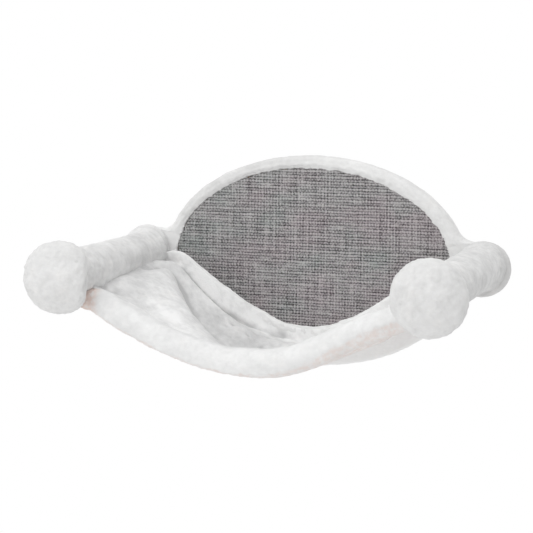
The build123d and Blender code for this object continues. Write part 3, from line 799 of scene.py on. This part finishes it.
# the net holds, for each station, the points of the bed's line from inside the hem to inside the roll
rear_lean = np.hypot(1, np.gradient(rear_edge, stations))
roll_lean = np.hypot(1, np.gradient(roll_line, stations))
rear_low = rear_edge - hem_height * rear_lean - 0.0009
rear_line = rear_y + 0.014 * ramp(stations, -0.160, -0.200) ** 1.5  # the left end turns in to the wall
join_share = 0.82  # how high on the roll the bed is sewn to it
roll_join = roll_line + roll_girth * join_share * roll_lean
roll_out = roll_y + roll_girth * math.sqrt(1 - join_share ** 2)
net = [np.column_stack([rear_line - 0.0012, rear_low + (hem_height - 0.001) * rear_lean]),
       np.column_stack([rear_line - 0.0045, rear_low])]
for number in range(folds.shape[1]):
    net.append(np.column_stack([rear_y - folds[:, number, 0], rear_low - folds[:, number, 1]]))
net.append(np.column_stack([roll_out, roll_join]))
net.append(np.column_stack([roll_out - 0.004, roll_join - 0.001]))
net = np.array(net).transpose(1, 0, 2)
bed_x = np.linspace(-1.05 * seam_x, 1.05 * seam_x, bed_columns)
bed = np.empty((bed_columns, bed_rows, 3))
marks = np.empty((bed_columns, 3))
for number, (x, line) in enumerate(zip(bed_x, flow(bed_x, stations, net))):
    along = np.concatenate([[0], np.cumsum(np.hypot(*np.diff(line, axis=0).T))])
    marks[number] = along[[2, 3, 6]] / along[-1]
    bed[number, :, 0] = x
    bed[number, :, 1:] = flow(np.linspace(0, along[-1], bed_rows), along, line)
bed = clear_of_poles(bed, sewn_room)
flat = bed.reshape(-1, 3)
loose = 0.0009 * lumps(flat * (0.45, 1, 0.8), 0.014, 101) + 0.0003 * lumps(flat, 0.011, 102)
# small creases lie along the rear of the bed, where the cloth is slack
crumpled = np.exp(-((flat[:, 0] + 0.03) / 0.065) ** 2 - ((flat[:, 1] + 0.085) / 0.035) ** 2)
creases = lumps(flat * (0.5, 1, 0.8), 0.013, 103)
nips = np.maximum(0, lumps(flat * (0.6, 1, 0.8), 0.008, 104) - 0.1)
loose -= crumpled * (0.0060 * np.abs(creases) + 0.0045 * nips - 0.0020)
# dimples: where they lie, how deep they are and how wide
for x, y, deep, size in ((-0.087, -0.078, 0.003, 0.004), (-0.063, -0.085, 0.004, 0.004),
                         (-0.162, -0.193, 0.002, 0.004), (-0.139, -0.238, 0.002, 0.005)):
    loose -= deep * np.exp(-((flat[:, 0] - x) ** 2 + (flat[:, 1] - y) ** 2) / size ** 2)
bed[..., 2] += loose.reshape(bed.shape[:2])
smooth = bed[..., 2]
for _ in range(60):  # heights with the folds ironed out, to find the hollows that get painted shade
    smooth = (np.roll(smooth, 1, 0) + np.roll(smooth, -1, 0) + np.roll(smooth, 1, 1)
              + np.roll(smooth, -1, 1)) / 4
    for end in (0, -1):
        smooth[end] = bed[end, :, 2]
        smooth[:, end] = bed[:, end, 2]
painted_fold_shade = np.clip((smooth - bed[..., 2] - 0.0009) / 0.0022, 0, 1.3)
# painted shade in the trough behind the ridge, in the crease by the hem and along the left seam, and painted
# light down the wall in front of the ridge, at the rear and on the right
share = np.linspace(0, 1, bed_rows)[None]
crease_at, trough_at, ridge_at = marks.T[:, :, None]
bed_across = bed_x[:, None]
trough_shade = ramp(bed_across, -0.145, -0.105) * ramp(bed_across, 0.01, -0.05)
trough_shade = trough_shade * ramp(share - trough_at, 0, 0.03) * ramp(ridge_at - share, 0, 0.02)
wall_light = ramp(bed_across, -0.17, -0.11) * ramp(bed_across, -0.03, -0.09) * ramp(share - ridge_at, 0, 0.25)
rear_light = np.maximum(ramp(trough_at - share, 0, 0.01), 1.6 * ramp(bed_across, 0, 0.04))
crease_shade = ramp(bed_across, -0.175, -0.155) * ramp(bed_across, -0.06, -0.10)
crease_shade = crease_shade * np.exp(-((share - crease_at + 0.005) / 0.022) ** 2)
left_seam_shade = ramp(bed_across, -0.14, -0.18)
light = 0.10 + 0.45 * wall_light + 0.45 * rear_light - painted_fold_shade - 0.37 * trough_shade - 1.6 * crease_shade - 0.35 * left_seam_shade
facing = np.cross(np.gradient(bed, axis=1), np.gradient(bed, axis=0))
facing /= np.maximum(np.linalg.norm(facing, axis=2, keepdims=True), 1e-12)
facing *= np.where(facing[..., 2:] < 0, -1, 1)
top = bed + facing * cloth_thickness / 2
under = bed - facing * cloth_thickness / 2
sling = sew("sling_cloth_plush", np.concatenate([top, under[:, ::-1]], axis=1), round_columns=True)
raise_pile(sling, 0.0004, 0.0065, 1.0, 110)
# the top gets the painted light and shade above, and the underside is made evenly lighter
paint_light_and_shade(sling, np.hstack([light, np.full_like(light, 0.40)]).ravel())
mark_points(sling, "woven_back_and_painted_shade", np.hstack([np.zeros_like(light), np.full_like(light, 0.6)]).ravel())
dress(sling, plush_finish("white_plush_cloth", (0.53, 0.53, 0.53), (0.88, 0.88, 0.878), woven_back_and_shade_colour))
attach(sling, "root")
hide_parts("sling_cloth")


# Rear hem
# The rear edge of the sling, turned over twice and stitched flat. It hangs just in front of the mat from arm to
# arm.
hem_columns = 220
hem_rows = 36
hem_half_deep = np.full(hem_columns, 0.0035)
hem_half_high = np.full(hem_columns, 0.0078)
hem_x = np.linspace(-1.01 * seam_x, 1.01 * seam_x, hem_columns)
hem_z = flow(hem_x, stations, rear_edge) - 0.008 * flow(hem_x, stations, rear_lean)
hem_path = np.column_stack([hem_x, flow(hem_x, stations, rear_line), hem_z])


def along_path(path, half_deep, half_high, count):
    """Rings of points round a path from side to side: half_deep forward and back, half_high up and down."""
    ahead = np.gradient(path, axis=0)
    ahead /= np.linalg.norm(ahead, axis=1, keepdims=True)
    forward = np.tile((0.0, -1.0, 0.0), (len(path), 1))
    forward -= ahead * (forward * ahead).sum(1, keepdims=True)
    forward /= np.linalg.norm(forward, axis=1, keepdims=True)
    upward = np.cross(forward, ahead)
    upward *= np.sign(upward[:, 2:])
    turn = np.linspace(0, 2 * math.pi, count, endpoint=False)
    return (path[:, None] + forward[:, None] * (half_deep[:, None] * np.cos(turn))[..., None]
            + upward[:, None] * (half_high[:, None] * np.sin(turn))[..., None])


rings = along_path(hem_path, hem_half_deep, hem_half_high, hem_rows)
flat = rings.reshape(-1, 3)
wave = 0.0008 * lumps(flat * (1, 0, 1), 0.025, 121)
sway = 0.0007 * lumps(flat * (1, 0, 0), 0.03, 122)
rings += np.column_stack([np.zeros(len(flat)), wave, sway]).reshape(rings.shape)
rear_hem = sew("rear_hem_plush", clear_of_poles(rings, sewn_room), round_columns=True)
raise_pile(rear_hem, 0.0010, 0.0065, 1.0, 130)
dress(rear_hem, plush_finish("white_plush_hem", (0.66, 0.658, 0.655), (0.88, 0.878, 0.875)))
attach(rear_hem, "root")
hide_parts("rear_hem")


# Front roll
# The front edge of the sling, sewn round a soft foam rod. It thins out at its two tips, which end under the
# arms just behind the knobs.
roll_columns = 250
roll_rows = 60
foam_shrink = 0.0043
tip_radius = 0.0085
tip_length = 0.008
tips = np.array((-1.10, 1.10)) * seam_x
tip_z = arm_z - 0.38 * roll_sag
roll_x = np.linspace(tips[0], tips[1], roll_columns)
roll_places = np.concatenate([[tips[0]], stations, [tips[1]]])
roll_heights = flow(roll_x, roll_places, np.concatenate([[tip_z], roll_line, [tip_z]]))
roll_radii = flow(roll_x, roll_places, np.concatenate([[tip_radius], roll_girth, [tip_radius]]))
path = np.column_stack([roll_x, np.full(roll_columns, roll_y), roll_heights])
near_tip = np.minimum(roll_x - tips[0], tips[1] - roll_x)
tip_round = np.sqrt(np.clip(1 - (1 - ramp(near_tip, 0, tip_length)) ** 2, 0.02, 1))
roll_plush = plush_finish("white_plush_front", (0.64, 0.64, 0.638), (0.84, 0.842, 0.84), woven_back_and_shade_colour)
for name, shrink, finish, node in (("front_roll_foam", foam_shrink, wadding, "front_hem_foam"),
                                   ("front_roll_plush", 0.0, roll_plush, "front_hem")):
    girth = (roll_radii - shrink) * tip_round
    rings = clear_of_poles(along_path(path, girth, girth, roll_rows), sewn_room + shrink)
    roll = sew(name, rings, round_columns=True)
    if node == "front_hem":
        places = points_of(roll)
        # below a seam on its lower front, and at the left tip behind the knob, painted shade in the pinkish
        # colour of the woven back darkens the cloth
        angle = np.tile(np.linspace(0, 2 * math.pi, roll_rows, endpoint=False), roll_columns)
        angle = np.where(angle > math.pi, angle - 2 * math.pi, angle)
        seam = -0.62 + 0.6 * ramp(places[:, 0], 0.02, 0.14) + 0.16 * lumps(places, 0.006, 142)
        under = ramp(seam - angle, 0, 0.22) * (angle > -2.4)
        tip_shade = 1.3 * ramp(places[:, 0], -0.187, -0.201)
        slack = 0.0009 * lumps(places * (0.6, 1, 1), 0.02, 141)
        swell(roll, slack + 0.0007 * under * (lumps(places, 0.005, 143) - 1))
        raise_pile(roll, 0.0008, 0.0065, 1 - 0.4 * under, 150)
        mark_points(roll, "woven_back_and_painted_shade", np.maximum(0.42 * under, tip_shade))
    dress(roll, finish)
    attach(roll, "root")
    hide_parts(node)


# Studio
# A pale floor well below the hammock, an even white sky, one broad lamp in front and one above, and the camera
# where the photograph was taken from.
floor_z = -0.75
floor_mesh = bpy.data.meshes.new("floor")
floor_mesh.from_pydata([(-1.9, -2.6, floor_z), (1.9, -2.6, floor_z), (1.9, 0.5, floor_z), (-1.9, 0.5, floor_z)],
                       [], [(0, 1, 2, 3)])
floor = bpy.data.objects.new("floor", floor_mesh)
bpy.context.scene.collection.objects.link(floor)
pale_floor, place = new_finish("pale_floor")
pale = place.grain(3, 2).between(0.2, 0.8).blend((0.90, 0.90, 0.90), (0.93, 0.93, 0.93))
close_finish(place, pale, 0.8, place.grain(200, 2), 0.0001)
dress(floor, pale_floor)

# the sky lights the hammock a little less than it shows behind it
sky_level = 0.86
world = bpy.data.worlds.new("studio")
bpy.context.scene.world = world
world.use_nodes = True
world.node_tree.nodes.clear()
rays = Strand(world.node_tree)
seen = rays.node("ShaderNodeLightPath", output="Is Camera Ray")
for ray in ("Is Glossy Ray", "Is Transmission Ray"):
    seen = seen + rays.node("ShaderNodeLightPath", output=ray)
strength = rays.reckon("MINIMUM", seen, 1.0) * (1 - sky_level) + sky_level
sky = rays.node("ShaderNodeBackground", {}, {"Color": (1.0, 1.0, 1.0), "Strength": strength})
rays.node("ShaderNodeOutputWorld", {}, {"Surface": sky})

for name, spot, size, watts in (("key", (-0.6, -2.3, 0.35), 1.5, 10.0), ("top", (-0.2, -0.7, 2.3), 1.2, 15.0)):
    light = bpy.data.lights.new(name, "AREA")
    light.shape = "DISK"
    light.size = size
    light.energy = watts
    lamp = bpy.data.objects.new(name, light)
    lamp.location = spot
    lamp.rotation_euler = (Vector((0, -0.15, 0)) - lamp.location).to_track_quat("-Z", "Y").to_euler()
    bpy.context.scene.collection.objects.link(lamp)

camera_aim = Vector((-0.0334, -0.1, 0.0021))
camera_distance = 2.103
side_on = math.radians(18.93)
raised_by = math.radians(7.75)
tilt = math.radians(0.336)
backward = Vector((math.sin(side_on) * math.cos(raised_by), -math.cos(side_on) * math.cos(raised_by),
                   math.sin(raised_by)))
right = Vector((math.cos(side_on), math.sin(side_on), 0))
turned = Matrix((right, backward.cross(right), backward)).transposed() @ Matrix.Rotation(tilt, 3, "Z")
lens = bpy.data.cameras.new("camera")
lens.lens = 112.43
lens.sensor_width = 36.0
camera = bpy.data.objects.new("camera", lens)
camera.matrix_world = Matrix.Translation(camera_aim + camera_distance * backward) @ turned.to_4x4()
bpy.context.scene.collection.objects.link(camera)
bpy.context.scene.camera = camera
bpy.context.scene.view_settings.view_transform = "Standard"
